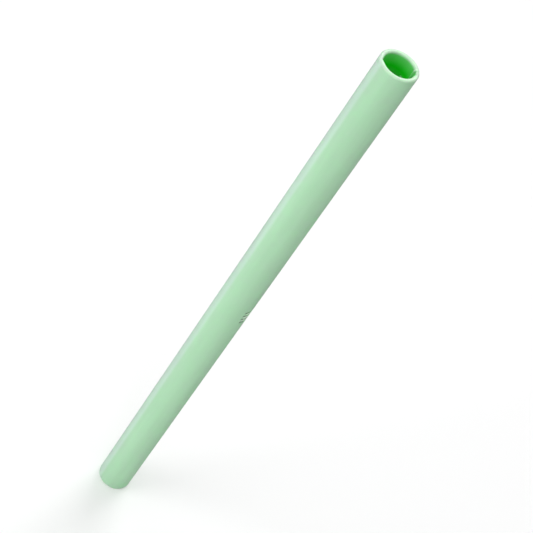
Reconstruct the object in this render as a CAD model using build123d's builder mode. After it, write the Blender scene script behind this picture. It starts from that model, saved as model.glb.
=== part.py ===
from build123d import *
from math import cos, sin, radians, sqrt
import os

os.makedirs("parts", exist_ok=True)

# Hinged split tube: two half shells, a flexible back wall that joins them over the whole
# length, and a tongue-and-groove closure along the front seam.
# Frame: Z along the tube, origin at the centre of the bottom end, the flexible back wall
# at -X, the closing seam at +X, the fixed half at +Y and the half that opens at -Y.

# Driving dimensions, mm
LENGTH = 230.0
R_OUT = 6.25          # outside radius
WALL = 1.4            # wall of the half shells
HINGE_T = 0.95        # wall at the bottom of the notch inside the flexible back
WEB_HALF = 30.0       # degrees from -X to each edge of the flexible back
NOTCH_HALF = 20.0     # degrees from -X to where the notch begins
SEAM_GAP = 0.1        # gap between the two lips
LIP_STEP = 0.3        # how much thinner the opening half's lip is, to take the tongue
RIM_R = 0.6           # rounding of the end rims
WEB_RIM_R = 0.5
WEB_INSET = 0.1       # the flexible back stops this short of each end

PIVOT_X = -5.6        # line that the opening half turns about

RAIL_SETBACK = 6.0    # both closure rails stop this short of each end
TONGUE_IN = 9.65      # the rails are arcs about the pivot line, so they swing clear
TONGUE_OUT = 10.30
TONGUE_TIP = -1.6
CATCH_IN = 9.05
CATCH_OUT = 9.45
CATCH_TIP = 0.9
GROOVE_FLOOR = -1.9

PAD_DEPTH = 0.6       # how far a grip pad is let into the wall
GROOVE_DEPTH = 0.4
GROOVE_WIDTH = 0.9
GROOVE_PITCH = 1.72
# each grip: angle of its middle from the seam, half its width, half its length,
# how much narrower its ends are on the side away from the seam, number of grooves
REAR_GRIP = (58.0, 3.5, 12.3, 3.0, 14)
FRONT_GRIP = (41.5, 2.1, 3.7, 0.15, 4)

MARK_R = 2.1          # ejector pads on the inside of the flexible back
MARK_STEP = 0.1
MARK_OFFSETS = (11.2, 18.9, 26.5, 41.9, 73.0)   # from each end, and one at mid-length

R_IN = R_OUT - WALL
MID_Z = LENGTH / 2


def polar(r, angle):
    """A point at radius r from the tube's axis."""
    return (r * cos(radians(angle)), r * sin(radians(angle)))


def about_pivot(rho, y):
    """The point at height y on the circle of radius rho about the pivot line."""
    return (PIVOT_X + sqrt(rho ** 2 - y ** 2), y)


def on_wall(y):
    """The point at height y on the inside of the shell, on the seam's side."""
    return (sqrt(R_IN ** 2 - y ** 2), y)


def wall_meets(rho):
    """Where the circle of radius rho about the pivot line meets the inside of the shell (y > 0)."""
    x = (rho ** 2 - R_IN ** 2 - PIVOT_X ** 2) / (-2 * PIVOT_X)
    return (x, sqrt(R_IN ** 2 - x ** 2))


def flip(point, side):
    return (point[0], side * point[1])


def grip_block(side, grip):
    """The block, square to the wall, that bounds one grip: straight beside the seam, bowed away from it."""
    angle, w, h, bow, _ = grip
    middle = polar(1.0, side * angle)
    plane = Plane(
        origin=(0, 0, MID_Z),
        x_dir=(-side * middle[1], side * middle[0], 0),
        z_dir=(middle[0], middle[1], 0),
    )
    with BuildPart() as block:
        with BuildSketch(plane):
            with BuildLine():
                Line((-w, -h), (w - bow, -h))
                ThreePointArc((w - bow, -h), (w, 0), (w - bow, h))
                Line((w - bow, h), (-w, h))
                Line((-w, h), (-w, -h))
            make_face()
        extrude(amount=R_OUT + 2)
    return block.part


def grip_layer(side, grip, outside):
    """The grip's block cut down to the layer between the pad's floor and a radius outside it."""
    h = grip[2] + 1
    with BuildPart() as layer:
        with BuildSketch(Plane.XY.offset(MID_Z - h)):
            Circle(outside)
            Circle(R_OUT - PAD_DEPTH, mode=Mode.SUBTRACT)
        extrude(amount=2 * h)
        add(grip_block(side, grip), mode=Mode.INTERSECT)
    return layer.part


def grip_pad(side, grip):
    """One grip: a pad let into the wall, cut across by grooves, with its ribs flush with the wall."""
    count = grip[4]
    with BuildPart() as pad:
        add(grip_layer(side, grip, R_OUT))
        for i in range(count):
            z = MID_Z + (i - (count - 1) / 2) * GROOVE_PITCH - GROOVE_WIDTH / 2
            with BuildSketch(Plane.XY.offset(z)):
                Circle(R_OUT + 1)
                Circle(R_OUT - GROOVE_DEPTH, mode=Mode.SUBTRACT)
            extrude(amount=GROOVE_WIDTH, mode=Mode.SUBTRACT)
    return pad.part


def half_shell(side, grip, lip_step):
    """One half of the tube, from the seam to the edge of the flexible back."""
    seam = SEAM_GAP / 2
    edge = 180 - WEB_HALF
    r_lip = R_IN + lip_step
    start_out = (sqrt(R_OUT ** 2 - seam ** 2), seam)
    start_in = (sqrt(r_lip ** 2 - seam ** 2), seam)
    step = -GROOVE_FLOOR
    with BuildPart() as shell:
        with BuildSketch(Plane.XY):
            with BuildLine():
                ThreePointArc(flip(start_out, side), flip(polar(R_OUT, 75), side),
                              flip(polar(R_OUT, edge), side))
                Line(flip(polar(R_OUT, edge), side), flip(polar(R_IN, edge), side))
                if lip_step:
                    lip_foot = (sqrt(r_lip ** 2 - step ** 2), step)
                    ThreePointArc(flip(polar(R_IN, edge), side), flip(polar(R_IN, 90), side),
                                  flip(on_wall(step), side))
                    Line(flip(on_wall(step), side), flip(lip_foot, side))
                    middle = (sqrt(r_lip ** 2 - 1), 1)
                    ThreePointArc(flip(lip_foot, side), flip(middle, side), flip(start_in, side))
                else:
                    ThreePointArc(flip(polar(R_IN, edge), side), flip(polar(R_IN, 75), side),
                                  flip(start_in, side))
                Line(flip(start_in, side), flip(start_out, side))
            make_face()
        extrude(amount=LENGTH)
        outer_rims = shell.edges().filter_by(GeomType.CIRCLE).filter_by(lambda e: e.radius > R_OUT - 0.1)
        fillet(outer_rims, radius=RIM_R)
        inner_rims = shell.edges().filter_by(GeomType.CIRCLE).filter_by(lambda e: abs(e.radius - R_IN) < 0.01)
        fillet(inner_rims, radius=RIM_R)
        add(grip_layer(side, grip, R_OUT + 1), mode=Mode.SUBTRACT)
    return shell.part


def web_section(shift):
    """The flexible back's section: flush outside, notched inside, moved inwards by shift."""
    def at(r, angle):
        x, y = polar(r, angle)
        return (x + shift, y)

    edge, notch = 180 - WEB_HALF, 180 - NOTCH_HALF
    with BuildSketch(Plane.XY) as section:
        with BuildLine():
            ThreePointArc(at(R_OUT, edge), at(R_OUT, 180), at(R_OUT, -edge))
            Line(at(R_OUT, -edge), at(R_IN, -edge))
            ThreePointArc(at(R_IN, -edge), at(R_IN, -(edge + notch) / 2), at(R_IN, -notch))
            Line(at(R_IN, -notch), at(R_OUT - HINGE_T, 180))
            Line(at(R_OUT - HINGE_T, 180), at(R_IN, notch))
            ThreePointArc(at(R_IN, notch), at(R_IN, (edge + notch) / 2), at(R_IN, edge))
            Line(at(R_IN, edge), at(R_OUT, edge))
        make_face()
    return section.sketch


with BuildPart() as rear_shell:
    add(half_shell(1, REAR_GRIP, 0))
rear_shell.part.label = "rear_shell"
export_step(rear_shell.part, "parts/rear_shell.step")

with BuildPart() as front_shell:
    add(half_shell(-1, FRONT_GRIP, LIP_STEP))
front_shell.part.label = "front_shell"
export_step(front_shell.part, "parts/front_shell.step")

# Flexible back wall, flush with the outside, with shallow round pads on its inside
with BuildPart() as hinge_web:
    extrude(web_section(0), amount=LENGTH - WEB_INSET)
    with BuildSketch(Plane.XY):
        Circle(R_OUT + 1)
    extrude(amount=WEB_INSET, mode=Mode.SUBTRACT)
    outer_rims = hinge_web.edges().filter_by(GeomType.CIRCLE).filter_by(lambda e: e.radius > R_OUT - 0.1)
    fillet(outer_rims, radius=WEB_RIM_R)
    with BuildPart(mode=Mode.PRIVATE) as pads:
        for z in (*MARK_OFFSETS, MID_Z, *(LENGTH - d for d in MARK_OFFSETS)):
            with BuildSketch(Plane(origin=(-R_OUT, 0, z), x_dir=(0, 1, 0), z_dir=(1, 0, 0))):
                Circle(MARK_R)
            extrude(amount=3)
        extrude(web_section(MARK_STEP), amount=LENGTH, mode=Mode.INTERSECT)
    add(pads.part)
hinge_web.part.label = "hinge_web"
export_step(hinge_web.part, "parts/hinge_web.step")

# Closure tongue on the fixed half: its root lies on the wall, its tip passes the seam
with BuildPart() as tongue_rail:
    with BuildSketch(Plane.XY.offset(RAIL_SETBACK)):
        top = wall_meets(TONGUE_IN)
        step_y = SEAM_GAP / 2
        with BuildLine():
            ThreePointArc(about_pivot(TONGUE_IN, TONGUE_TIP), about_pivot(TONGUE_IN, 0.5), top)
            ThreePointArc(top, on_wall(top[1] / 2), on_wall(step_y))
            Line(on_wall(step_y), about_pivot(TONGUE_OUT, step_y))
            ThreePointArc(about_pivot(TONGUE_OUT, step_y), about_pivot(TONGUE_OUT, TONGUE_TIP / 2),
                          about_pivot(TONGUE_OUT, TONGUE_TIP))
            Line(about_pivot(TONGUE_OUT, TONGUE_TIP), about_pivot(TONGUE_IN, TONGUE_TIP))
        make_face()
    extrude(amount=LENGTH - 2 * RAIL_SETBACK)
tongue_rail.part.label = "tongue_rail"
export_step(tongue_rail.part, "parts/tongue_rail.step")

# Catch rail on the opening half: with the wall it forms the groove that takes the tongue
with BuildPart() as catch_rail:
    with BuildSketch(Plane.XY.offset(RAIL_SETBACK)):
        foot = flip(wall_meets(CATCH_IN), -1)
        with BuildLine():
            ThreePointArc(about_pivot(CATCH_IN, CATCH_TIP), about_pivot(CATCH_IN, -1.0), foot)
            ThreePointArc(foot, on_wall((foot[1] + GROOVE_FLOOR) / 2), on_wall(GROOVE_FLOOR))
            Line(on_wall(GROOVE_FLOOR), about_pivot(CATCH_OUT, GROOVE_FLOOR))
            ThreePointArc(about_pivot(CATCH_OUT, GROOVE_FLOOR), about_pivot(CATCH_OUT, -0.5),
                          about_pivot(CATCH_OUT, CATCH_TIP))
            Line(about_pivot(CATCH_OUT, CATCH_TIP), about_pivot(CATCH_IN, CATCH_TIP))
        make_face()
    extrude(amount=LENGTH - 2 * RAIL_SETBACK)
catch_rail.part.label = "catch_rail"
export_step(catch_rail.part, "parts/catch_rail.step")

# Ribbed grips at mid-length, one on each half: a long one and a short one
with BuildPart() as rear_grip:
    add(grip_pad(1, REAR_GRIP))
rear_grip.part.label = "rear_grip"
export_step(rear_grip.part, "parts/rear_grip.step")

with BuildPart() as front_grip:
    add(grip_pad(-1, FRONT_GRIP))
front_grip.part.label = "front_grip"
export_step(front_grip.part, "parts/front_grip.step")
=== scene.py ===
from math import cos, degrees, radians, sin, sqrt

import bpy
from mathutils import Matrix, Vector


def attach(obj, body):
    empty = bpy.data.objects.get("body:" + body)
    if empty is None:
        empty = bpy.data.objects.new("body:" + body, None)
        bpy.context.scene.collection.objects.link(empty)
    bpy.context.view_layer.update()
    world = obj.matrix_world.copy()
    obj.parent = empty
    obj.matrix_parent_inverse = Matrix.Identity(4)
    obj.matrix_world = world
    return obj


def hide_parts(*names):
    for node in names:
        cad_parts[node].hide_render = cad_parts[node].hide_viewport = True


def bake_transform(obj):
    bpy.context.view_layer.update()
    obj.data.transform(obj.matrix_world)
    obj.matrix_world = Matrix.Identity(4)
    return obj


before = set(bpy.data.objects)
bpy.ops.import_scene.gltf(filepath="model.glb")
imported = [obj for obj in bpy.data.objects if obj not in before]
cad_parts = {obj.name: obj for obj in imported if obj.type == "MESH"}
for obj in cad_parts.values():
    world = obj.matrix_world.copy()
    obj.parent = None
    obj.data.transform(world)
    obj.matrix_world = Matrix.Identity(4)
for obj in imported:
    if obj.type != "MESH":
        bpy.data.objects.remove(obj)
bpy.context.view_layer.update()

# ---------------------------------------------------------------- the tube's dimensions, metres
# Angles are in degrees about the tube's axis, from the seam at +X. The fixed rear half is at y > 0.
MM = 0.001
LENGTH = 230.0 * MM
R_OUT = 6.25 * MM
WALL = 1.4 * MM
R_IN = R_OUT - WALL
MID_Z = LENGTH / 2
RIM = 0.6 * MM              # rounding of both end rims
PIVOT_X = -5.6 * MM         # the hinge line

# flexible back, opposite the seam
WEB_EDGE = 150.0            # from the seam to each edge of the back
HINGE_T = 0.95 * MM         # wall at the bottom of the notch inside it
NOTCH_HALF = 20.0           # from the back's middle to where the notch begins
MARK_R = 2.1 * MM           # round ejector pads inside it
MARK_STEP = 0.08 * MM
MARK_EDGE = 0.16 * MM
MARK_FRAME = 2.5 * MM       # half the height of the fine mesh around a pad
MARK_OFFSETS = [d * MM for d in (11.2, 18.9, 26.5, 41.9, 73.0)]
MARKS = MARK_OFFSETS + [MID_Z] + [LENGTH - d for d in MARK_OFFSETS]

# lips beside the seam
SEAM = 0.05 * MM            # half the gap between the lips
SEAM_ANGLE = degrees(SEAM / R_OUT)
LIP_OUT = 0.24 * MM         # rounding of the lips' outer and inner edges
LIP_IN = 0.12 * MM
LIP_STEP = 0.3 * MM         # how much thinner the opening half's lip is
STEP_ANGLE = 23.1           # from the seam to the root of the catch rail
RIDGE = 0.3 * MM            # ridge inside the fixed half's lip
RIDGE_ANGLE = 6.0
STEP_BLEND = 0.8            # half the angle over which a step or the ridge rises

# grips: grooves cut at mid-length beside the seam
GROOVE_DEPTH = 0.5 * MM
GROOVE_HALF = 0.45 * MM
GROOVE_PITCH = 1.72 * MM
GROOVE_WALL = 0.08 * MM
REAR_GROOVES = 14
FRONT_GROOVES = 4

# closure rails: radii about the hinge line, and heights of their free edges
RAIL_SETBACK = 6.0 * MM
RAIL_END = 0.35 * MM
TIP_LENGTH = 0.1 * MM       # straight stretch before a rail's rounded tip
TONGUE_IN = 9.65 * MM
TONGUE_OUT = 10.30 * MM
TONGUE_TIP = -1.6 * MM
CATCH_IN = 9.05 * MM
CATCH_OUT = 9.45 * MM
CATCH_TIP = 0.9 * MM
GROOVE_FLOOR = -1.9 * MM

# where the layered colours lie: painted light, painted highlight and painted shade among them
INSIDE_FROM = 0.75 * MM     # depths between which the inside takes its deepest colour, painted light coming through the wall
INSIDE_FULL = 1.2 * MM
INSIDE_FAR = 5.0 * MM       # beyond this it turns paler again, over INSIDE_REACH
INSIDE_REACH = 9.0 * MM
INSIDE_MIDDLE = 0.14        # how deep the painted light's colour is along the tube's middle
RIDGE_PALER = 0.55          # how much of the deep painted light's colour the lip's ridge loses
THIN_FADE = 14.0            # degrees over which the back's thin wall turns paler, partly a painted highlight
RIM_HIGHLIGHT = 0.62             # how pale the painted highlight on the end rims is
OUTSIDE_LAYERS = ("thin", "edge", "recess")


def smooth(t):
    """A soft step from 0 to 1."""
    t = min(max(t, 0.0), 1.0)
    return t * t * (3 - 2 * t)


# ---------------------------------------------------------------- camera
SENSOR = 36.0
FOCAL_PX = 1516.6
IMAGE_PX = 533.0
cam_data = bpy.data.cameras.new("camera")
cam_data.sensor_width = SENSOR
cam_data.lens = FOCAL_PX / IMAGE_PX * SENSOR
cam_data.clip_start = 0.01
cam_data.clip_end = 10.0
camera = bpy.data.objects.new("camera", cam_data)
camera.location = (-0.14661, -0.3144, 0.47338)
camera.rotation_euler = (radians(40.171), radians(-24.352), radians(0.741))
bpy.context.scene.collection.objects.link(camera)
bpy.context.scene.camera = camera


# ---------------------------------------------------------------- materials
MINT_BASE = (0.46, 0.75, 0.50)
# painted light coming through the translucent wall: the deeper green inside near the ends
PAINTED_INSIDE_LIGHT = (0.0, 0.76, 0.0)
# painted highlight on the end rims and on the ribs between the grooves
PAINTED_HIGHLIGHT = (0.68, 0.90, 0.69)
# painted shade in the grip grooves
PAINTED_GROOVE_SHADE = (0.07, 0.24, 0.09)
# paler along the thin back: partly its thinner wall, partly a painted highlight
THIN_WALL_AND_HIGHLIGHT = (0.58, 0.80, 0.65)


STREAK_SCALE = (260.0, 260.0, 22.0)     # flow streaks, long along the tube
GRAIN_SCALE = 2600.0
GRAIN_HEIGHT = 0.04 * MM
SUBSURFACE_DEPTH = 0.28 * MM


def map_range(nodes, to_min, to_max):
    """Spreads the middle of a noise over the given values."""
    node = nodes.new("ShaderNodeMapRange")
    node.inputs["From Min"].default_value = 0.3
    node.inputs["From Max"].default_value = 0.7
    node.inputs["To Min"].default_value = to_min
    node.inputs["To Max"].default_value = to_max
    return node


def plastic(name, roughness):
    """Satin translucent polypropylene: flow streaks along the tube, a fine moulded grain."""
    mat = bpy.data.materials.new(name)
    mat.use_nodes = True
    nodes, links = mat.node_tree.nodes, mat.node_tree.links
    shader = nodes["Principled BSDF"]
    shader.inputs["IOR"].default_value = 1.49
    shader.inputs["Subsurface Weight"].default_value = 0.7
    shader.inputs["Subsurface Radius"].default_value = (0.45, 1.0, 0.5)
    shader.inputs["Subsurface Scale"].default_value = SUBSURFACE_DEPTH
    shader.inputs["Specular IOR Level"].default_value = 0.35
    shader.inputs["Coat Weight"].default_value = 0.08
    shader.inputs["Coat Roughness"].default_value = 0.2

    coords = nodes.new("ShaderNodeTexCoord")
    stretch = nodes.new("ShaderNodeMapping")
    stretch.inputs["Scale"].default_value = STREAK_SCALE
    links.new(coords.outputs["Object"], stretch.inputs["Vector"])
    streaks = nodes.new("ShaderNodeTexNoise")
    streaks.inputs["Scale"].default_value = 1.0
    streaks.inputs["Detail"].default_value = 3.0
    streaks.inputs["Roughness"].default_value = 0.55
    links.new(stretch.outputs["Vector"], streaks.inputs["Vector"])

    grain = nodes.new("ShaderNodeTexNoise")
    grain.inputs["Scale"].default_value = GRAIN_SCALE
    grain.inputs["Detail"].default_value = 2.0
    links.new(coords.outputs["Object"], grain.inputs["Vector"])

    # the base turns a deeper green inside the tube as painted light coming through the wall, cooler and
    # paler along the thin back partly as a painted highlight, paler on the end rims and ribs as a
    # painted highlight, and darker in the grooves as painted shade
    tone = None
    layers = (("inside", PAINTED_INSIDE_LIGHT), ("thin", THIN_WALL_AND_HIGHLIGHT), ("edge", PAINTED_HIGHLIGHT),
              ("recess", PAINTED_GROOVE_SHADE))
    for layer, colour in layers:
        amount = nodes.new("ShaderNodeAttribute")
        amount.attribute_name = layer
        mix = nodes.new("ShaderNodeMix")
        mix.data_type = "RGBA"
        mix.inputs["A"].default_value = (*MINT_BASE, 1)
        mix.inputs["B"].default_value = (*colour, 1)
        links.new(amount.outputs["Fac"], mix.inputs["Factor"])
        if tone:
            links.new(tone.outputs["Result"], mix.inputs["A"])
        tone = mix

    vary = map_range(nodes, 0.96, 1.03)
    links.new(streaks.outputs["Fac"], vary.inputs["Value"])
    colour = nodes.new("ShaderNodeHueSaturation")
    links.new(vary.outputs["Result"], colour.inputs["Value"])
    links.new(tone.outputs["Result"], colour.inputs["Color"])
    links.new(colour.outputs["Color"], shader.inputs["Base Color"])

    rough = map_range(nodes, roughness - 0.04, roughness + 0.05)
    links.new(streaks.outputs["Fac"], rough.inputs["Value"])
    links.new(rough.outputs["Result"], shader.inputs["Roughness"])

    bump = nodes.new("ShaderNodeBump")
    bump.inputs["Strength"].default_value = 0.12
    bump.inputs["Distance"].default_value = GRAIN_HEIGHT
    links.new(grain.outputs["Fac"], bump.inputs["Height"])
    links.new(bump.outputs["Normal"], shader.inputs["Normal"])
    return mat


MINT = plastic("mint_plastic", 0.40)
WEB = plastic("mint_web", 0.38)


# ---------------------------------------------------------------- meshes
def finish_piece(name, verts, faces, layers, material):
    """layers gives each point's amount of the material's layered colours."""
    mesh = bpy.data.meshes.new(name)
    mesh.from_pydata(verts, [], faces)
    for layer, amounts in layers.items():
        mesh.attributes.new(layer, "FLOAT", "POINT").data.foreach_set("value", amounts)
    mesh.polygons.foreach_set("use_smooth", [True] * len(mesh.polygons))
    mesh.set_sharp_from_angle(angle=radians(32))
    mesh.validate()
    mesh.update()
    piece = bpy.data.objects.new(name, mesh)
    mesh.materials.append(material)
    bpy.context.scene.collection.objects.link(piece)
    return piece


def rim_inset(z, radius):
    """How far a rounded rim of this radius has drawn back from the wall at height z."""
    d = min(z, LENGTH - z)
    if d >= radius:
        return 0.0
    return radius - sqrt(max(radius ** 2 - (radius - d) ** 2, 0.0))


def rim_stations(z_low, z_high, radius):
    """Heights that round a rim at both ends."""
    turns = [radians(a) for a in (0, 10, 22, 36, 52, 70, 90)]
    steps = [radius * (1 - cos(t)) for t in turns]
    return [z_low + s for s in steps], [z_high - s for s in reversed(steps)]


def merged(values, least):
    """Sorted values with any closer than least dropped."""
    out = []
    for v in sorted(values):
        if not out or v - out[-1] > least:
            out.append(v)
    return out


def spread(low, high, step):
    """Even values from low to high, about step apart."""
    n = max(1, round((high - low) / step))
    return [low + (high - low) * i / n for i in range(n + 1)]


def rim_highlight(z):
    """How much painted highlight the end rims have at height z."""
    return RIM_HIGHLIGHT * smooth((1.15 * RIM - min(z, LENGTH - z)) / (0.7 * RIM))


def wall_piece(name, angles, heights, outer, inner, outside, material):
    """A closed wall between two surfaces, each given as radius(angle, height).

    outside gives the outer surface's amounts of OUTSIDE_LAYERS at an angle and height.
    """
    verts, faces = [], []
    layers = {name: [] for name in ("inside", *OUTSIDE_LAYERS)}
    rows, cols = len(heights), len(angles)
    for k, surface in enumerate((outer, inner)):
        for z in heights:
            for a in angles:
                r = surface(a, z)
                verts.append((r * cos(radians(a)), r * sin(radians(a)), z))
                layers["inside"].append(inside_painted_light(a, z) if k else 0.0)
                amounts = {} if k else outside(a, z)
                # every surface takes the end rims' painted highlight
                amounts["edge"] = max(amounts.get("edge", 0.0), rim_highlight(z))
                for layer in OUTSIDE_LAYERS:
                    layers[layer].append(amounts.get(layer, 0.0))

    def at(k, i, j):
        return k * rows * cols + i * cols + j

    for i in range(rows - 1):
        for j in range(cols - 1):
            faces.append((at(0, i, j), at(0, i, j + 1), at(0, i + 1, j + 1), at(0, i + 1, j)))
            faces.append((at(1, i, j), at(1, i + 1, j), at(1, i + 1, j + 1), at(1, i, j + 1)))
    end = rows - 1
    for j in range(cols - 1):
        faces.append((at(0, 0, j), at(1, 0, j), at(1, 0, j + 1), at(0, 0, j + 1)))
        faces.append((at(0, end, j), at(0, end, j + 1), at(1, end, j + 1), at(1, end, j)))
    end = cols - 1
    for i in range(rows - 1):
        faces.append((at(0, i, 0), at(0, i + 1, 0), at(1, i + 1, 0), at(1, i, 0)))
        faces.append((at(0, i, end), at(1, i, end), at(1, i + 1, end), at(0, i + 1, end)))
    if angles[0] > angles[-1]:
        faces = [tuple(reversed(f)) for f in faces]
    return finish_piece(name, verts, faces, layers, material)


def inside_painted_light(angle, z):
    """How much of the deeper colour, painted light coming through the wall, the inside has: less along
    the middle and on the lip's ridge.
    """
    depth = min(z, LENGTH - z)
    near = smooth((depth - INSIDE_FROM) / (INSIDE_FULL - INSIDE_FROM))
    ridge = smooth((RIDGE_ANGLE + 1.0 - angle) / (2 * STEP_BLEND)) if angle > 0 else 0.0
    middle = smooth((depth - INSIDE_FAR) / INSIDE_REACH)
    return near * (1 - RIDGE_PALER * ridge) * (1 - (1 - INSIDE_MIDDLE) * middle)


def inner_radius(angle):
    """The inside of the wall at an angle from the seam, with the notch inside the flexible back."""
    off = abs(180 - abs(angle))
    if off >= NOTCH_HALF:
        return R_IN
    # straight line from the notch's corner to its bottom
    corner = (R_IN * cos(radians(NOTCH_HALF)), R_IN * sin(radians(NOTCH_HALF)))
    bottom = R_OUT - HINGE_T
    slope = (corner[0] - bottom) / corner[1]
    return bottom / (cos(radians(off)) - slope * sin(radians(off)))


def rim_in(angle):
    """Radius of the end rim's inner rounding, less where the wall is thin."""
    return RIM * (R_OUT - inner_radius(angle)) / WALL


def lip_drop(angle, edge_radius):
    """How far the rounded edge of a lip has drawn back, near the seam."""
    reach = abs(angle) - SEAM_ANGLE
    width = degrees(edge_radius / R_OUT)
    if reach >= width:
        return 0.0
    return edge_radius * (1 - sqrt(max(0.0, 1 - (1 - reach / width) ** 2)))


def half_shell(name, side, lip_step, node, grip_node, body, slots):
    """One half of the tube. slots: (centre height, first angle, last angle) of each grip groove."""
    def groove(angle, z):
        """Depth of the nearest groove, with round ends and steep walls."""
        depth = 0.0
        for centre, first, last in slots:
            if abs(z - centre) > GROOVE_HALF:
                continue
            a = min(max(angle, first), last)
            along = radians(angle - a) * R_OUT
            d = sqrt(along ** 2 + (z - centre) ** 2)
            depth = max(depth, GROOVE_DEPTH * smooth((GROOVE_HALF - d) / GROOVE_WALL))
        return depth

    def outer(angle, z):
        a = abs(angle)
        return R_OUT - rim_inset(z, RIM) - lip_drop(a, LIP_OUT) - groove(a, z)

    def inner(angle, z):
        a = abs(angle)
        step = lip_step * smooth((STEP_ANGLE + STEP_BLEND - a) / (2 * STEP_BLEND))
        step -= 0.0 if lip_step else RIDGE * smooth((RIDGE_ANGLE - a) / (2 * STEP_BLEND))
        return R_IN + step + rim_inset(z, RIM) + lip_drop(a, LIP_IN)

    first = min(s[1] for s in slots) - 6
    last = max(s[2] for s in slots) + 6
    lip = [SEAM_ANGLE + d for d in (0.0, 0.12, 0.3, 0.55, 0.9, 1.3, 1.8, 2.6)]
    angles = lip + spread(4.0, first, 2.5) + spread(first, last, 0.8) + spread(last, WEB_EDGE, 2.5)
    bend = STEP_ANGLE if lip_step else RIDGE_ANGLE - STEP_BLEND
    angles += spread(bend - STEP_BLEND, bend + STEP_BLEND, 0.2)
    angles = merged(angles, 0.05)
    low, high = rim_stations(0.0, LENGTH, RIM)
    heights = low + high + spread(1.0 * MM, LENGTH - 1.0 * MM, 4.0 * MM)
    for centre, _, _ in slots:
        for d in (0.0, 0.15, 0.26, 0.31, 0.345, 0.38, 0.415, 0.45, 0.52):
            heights += [centre - d * MM, centre + d * MM]
    heights = merged(heights, 0.004 * MM)
    low_z = min(s[0] for s in slots) - GROOVE_HALF
    high_z = max(s[0] for s in slots) + GROOVE_HALF

    def outside(angle, z):
        """Painted highlight on the ribs, painted shade in the grooves."""
        cut = groove(abs(angle), z) / GROOVE_DEPTH
        rib = low_z < z < high_z and min(s[1] for s in slots) < abs(angle) < min(s[2] for s in slots)
        # ribs take the painted highlight, grooves the painted shade
        return {"edge": 1 - cut if rib else 0.0, "recess": cut}

    piece = wall_piece(name, [side * a for a in angles], heights, outer, inner, outside, MINT)
    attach(piece, body)
    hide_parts(node, grip_node)
    return piece


def groove_row(count, first, last, bow):
    """Grooves at mid-length: straight ends beside the seam, bowed ends away from it."""
    half = (count - 1) / 2
    slots = []
    for i in range(count):
        t = (i - half) / (half + 0.5)
        slots.append((MID_Z + (i - half) * GROOVE_PITCH, first, last - bow * t * t))
    return slots


half_shell("rear_half_shell", 1, 0.0, "rear_shell", "rear_grip", "rear_half",
           groove_row(REAR_GROOVES, 26.0, 90.0, 28.0))
half_shell("front_half_shell", -1, LIP_STEP, "front_shell", "front_grip", "front_half",
           groove_row(FRONT_GROOVES, 23.5, 59.5, 1.5))


# flexible back wall with the round ejector pads on its inside
def web_outer(angle, z):
    return R_OUT - rim_inset(z, RIM)


def web_outside(angle, z):
    """The thin back is a little cooler and paler, partly for its thinner wall and partly as a painted
    highlight, more so towards its middle.
    """
    return {"thin": smooth((180 - WEB_EDGE - abs(180 - angle)) / THIN_FADE)}


def web_inner(angle, z):
    """The inside of the back, with the ejector pads standing a little proud."""
    across = radians(180 - angle) * (R_OUT - HINGE_T)
    rise = 0.0
    for mark in MARKS:
        d = sqrt(across ** 2 + (z - mark) ** 2)
        if d < MARK_R + MARK_EDGE:
            rise = MARK_STEP * smooth((MARK_R + MARK_EDGE - d) / MARK_EDGE)
    return inner_radius(angle) - rise + rim_inset(z, rim_in(angle))


low, high = rim_stations(0.0, LENGTH, RIM)
heights = low + high + spread(1.0 * MM, LENGTH - 1.0 * MM, 3.0 * MM)
for mark in MARKS:
    heights += spread(mark - MARK_FRAME, mark + MARK_FRAME, 0.14 * MM)
heights = merged(heights, 0.004 * MM)
web = wall_piece("flexible_back", spread(WEB_EDGE, 360 - WEB_EDGE, 1.25), heights, web_outer, web_inner,
                 web_outside, WEB)
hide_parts("hinge_web")
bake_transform(web)


# ---------------------------------------------------------------- closure rails
def about_pivot(rho, y):
    """The point at this height on the circle of radius rho about the hinge line."""
    return (PIVOT_X + sqrt(rho ** 2 - y ** 2), y)


def on_wall(y, sink=0.03 * MM):
    """The point at this height just inside the wall, where a rail is rooted."""
    r = R_IN + sink
    return (sqrt(r ** 2 - y ** 2), y)


def wall_meets(rho):
    """Height at which the circle of radius rho about the pivot meets the inside of the wall."""
    x = (rho ** 2 - R_IN ** 2 - PIVOT_X ** 2) / (-2 * PIVOT_X)
    return sqrt(R_IN ** 2 - x ** 2)


def rail(name, profile, node, body):
    """A rail of this cross-section, counter-clockwise, with its ends rounded."""
    n = len(profile)
    cx = sum(p[0] for p in profile) / n
    cy = sum(p[1] for p in profile) / n
    turns = [radians(a) for a in (0, 15, 35, 60, 90)]
    steps = [(RAIL_END * (1 - cos(t)), RAIL_END * (1 - sin(t))) for t in turns]
    z0 = RAIL_SETBACK
    z1 = LENGTH - RAIL_SETBACK
    levels = [(z0 + dz, inset) for dz, inset in steps]
    levels += [(z, 0.0) for z in spread(z0 + 2 * MM, z1 - 2 * MM, 8 * MM)]
    levels += [(z1 - dz, inset) for dz, inset in reversed(steps)]
    verts, faces = [], []
    for z, inset in levels:
        for x, y in profile:
            d = sqrt((x - cx) ** 2 + (y - cy) ** 2)
            k = 1 - min(inset, 0.45 * d) / d
            verts.append((cx + (x - cx) * k, cy + (y - cy) * k, z))
    for i in range(len(levels) - 1):
        for j in range(n):
            a, b = i * n + j, i * n + (j + 1) % n
            faces.append((a, b, b + n, a + n))
    faces.append(tuple(reversed(range(n))))
    faces.append(tuple(range((len(levels) - 1) * n, len(levels) * n)))
    # the rails take the inside's painted light at the strength it has along the tube's middle
    layers = {"inside": [INSIDE_MIDDLE] * len(verts)}
    piece = finish_piece(name, verts, faces, layers, MINT)
    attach(piece, body)
    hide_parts(node)
    return piece


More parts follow.
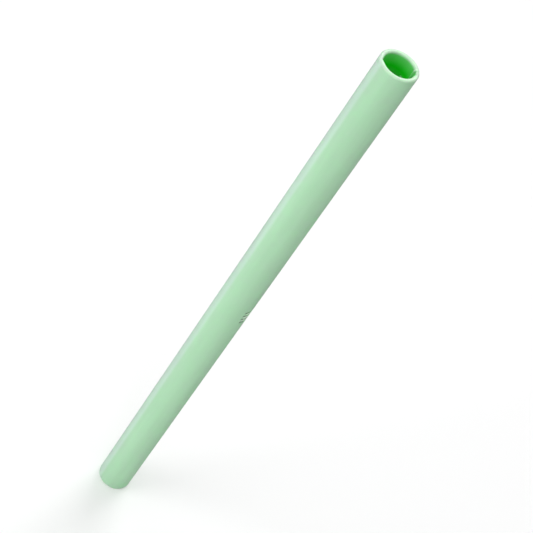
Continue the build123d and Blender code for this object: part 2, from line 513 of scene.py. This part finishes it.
def tip(rho_in, rho_out, y_tip, way):
    """The rounded free edge of a rail, from its inner face to its outer one; way is -1 down, 1 up."""
    mid = (rho_in + rho_out) / 2
    half = (rho_out - rho_in) / 2
    points = []
    for a in (0, 22, 45, 68, 90, 112, 135, 158, 180):
        rho = mid - half * cos(radians(a))
        y = y_tip - way * half * (1 - sin(radians(a)))
        points.append(about_pivot(rho, y))
    return points


# tongue: inner face down from the wall, rounded tip, outer face up, then back along the wall
top = wall_meets(TONGUE_IN)
low = TONGUE_TIP + (TONGUE_OUT - TONGUE_IN) / 2 + TIP_LENGTH
profile = [about_pivot(TONGUE_IN, y) for y in spread(top, low, 0.3 * MM)]
profile += tip(TONGUE_IN, TONGUE_OUT, TONGUE_TIP, -1)
profile += [about_pivot(TONGUE_OUT, y) for y in spread(low, SEAM, 0.3 * MM)]
profile += [on_wall(y) for y in spread(0.06 * MM, top, 0.3 * MM)]
rail("closure_tongue", profile, "tongue_rail", "rear_half")

# catch rail: outer face up from the groove's floor, rounded tip, inner face down to the wall
foot = -wall_meets(CATCH_IN)
high = CATCH_TIP - (CATCH_OUT - CATCH_IN) / 2 - TIP_LENGTH
profile = [on_wall(y) for y in spread(foot, GROOVE_FLOOR, 0.3 * MM)]
profile += [about_pivot(CATCH_OUT, y) for y in spread(GROOVE_FLOOR, high, 0.3 * MM)]
profile += list(reversed(tip(CATCH_IN, CATCH_OUT, CATCH_TIP, 1)))
profile += [about_pivot(CATCH_IN, y) for y in spread(high, foot, 0.3 * MM)]
rail("closure_catch", profile, "catch_rail", "front_half")


# ---------------------------------------------------------------- floor, light and world
FLOOR_HALF = 1.0
BACKDROP_FROM = 0.12        # radii between which the floor fades into the surround
BACKDROP_FULL = 0.55
BACKDROP_R = 1.3
BACKDROP_LIFT = 0.2 * MM


def stage_piece(name, verts, faces):
    """Something around the object that isn't part of it, with its own material."""
    mesh = bpy.data.meshes.new(name)
    mesh.from_pydata(verts, [], faces)
    mat = bpy.data.materials.new(name)
    mat.use_nodes = True
    mesh.materials.append(mat)
    piece = bpy.data.objects.new(name, mesh)
    bpy.context.scene.collection.objects.link(piece)
    return piece, mat.node_tree


def pale_floor():
    half = FLOOR_HALF
    corners = [(-half, -half, 0.0), (half, -half, 0.0), (half, half, 0.0), (-half, half, 0.0)]
    floor, tree = stage_piece("floor", corners, [(0, 1, 2, 3)])
    shader = tree.nodes["Principled BSDF"]
    shader.inputs["Base Color"].default_value = (0.95, 0.95, 0.95, 1)
    shader.inputs["Roughness"].default_value = 0.6
    shader.inputs["Specular IOR Level"].default_value = 0.2
    floor.visible_glossy = False


def backdrop():
    """A pale surround, seen but giving no light: the far floor, which rises and closes overhead."""
    levels = 24
    turns = 64
    profile = [(BACKDROP_FROM, 0.0)]
    for i in range(levels):
        up = radians(90 * i / (levels - 1))
        profile.append((BACKDROP_R * cos(up) + 1 * MM, BACKDROP_R * sin(up)))
    verts = []
    for r, z in profile:
        for j in range(turns):
            turn = radians(360 * j / turns)
            verts.append((r * cos(turn), r * sin(turn), z + BACKDROP_LIFT))
    faces = []
    for i in range(levels):
        for j in range(turns):
            a = i * turns + j
            b = i * turns + (j + 1) % turns
            faces.append((a, a + turns, b + turns, b))
    wall, tree = stage_piece("backdrop", verts, faces)
    for kind in ("diffuse", "glossy", "transmission", "volume_scatter", "shadow"):
        setattr(wall, "visible_" + kind, False)

    nodes, links = tree.nodes, tree.links
    shader = nodes["Principled BSDF"]
    shader.inputs["Base Color"].default_value = (0, 0, 0, 1)
    shader.inputs["Specular IOR Level"].default_value = 0.0
    shader.inputs["Emission Color"].default_value = (1, 1, 1, 1)
    shader.inputs["Emission Strength"].default_value = 1.0
    coords = nodes.new("ShaderNodeTexCoord")
    distance = nodes.new("ShaderNodeVectorMath")
    distance.operation = "LENGTH"
    links.new(coords.outputs["Object"], distance.inputs[0])
    fade = nodes.new("ShaderNodeMapRange")
    fade.interpolation_type = "SMOOTHSTEP"
    fade.inputs["From Min"].default_value = BACKDROP_FROM
    fade.inputs["From Max"].default_value = BACKDROP_FULL
    links.new(distance.outputs["Value"], fade.inputs["Value"])
    links.new(fade.outputs["Result"], shader.inputs["Alpha"])


pale_floor()
backdrop()


def area(name, location, target, size, power):
    """A soft light of this width and height that faces the target."""
    light = bpy.data.lights.new(name, "AREA")
    light.energy = power
    light.shape = "RECTANGLE"
    light.size, light.size_y = size
    lamp = bpy.data.objects.new(name, light)
    lamp.location = location
    lamp.rotation_euler = (Vector(target) - Vector(location)).to_track_quat("-Z", "Y").to_euler()
    bpy.context.scene.collection.objects.link(lamp)


area("key", (-0.95, -0.15, 0.5), (0, 0, 0.11), (0.6, 0.9), 4.4)
area("front", (-0.25, -0.95, 0.45), (0, 0, 0.11), (0.5, 0.9), 2.3)
area("back", (0.35, 0.72, 0.85), (0, 0, 0.15), (0.6, 0.6), 4.0)
area("top", (0.0, 0.0, 3.0), (0, 0, 0), (5.0, 5.0), 84.0)

world = bpy.data.worlds.new("world")
world.use_nodes = True
background = world.node_tree.nodes["Background"]
background.inputs["Color"].default_value = (1, 1, 1, 1)
background.inputs["Strength"].default_value = 0.17
bpy.context.scene.world = world
bpy.context.scene.view_settings.view_transform = "Standard"
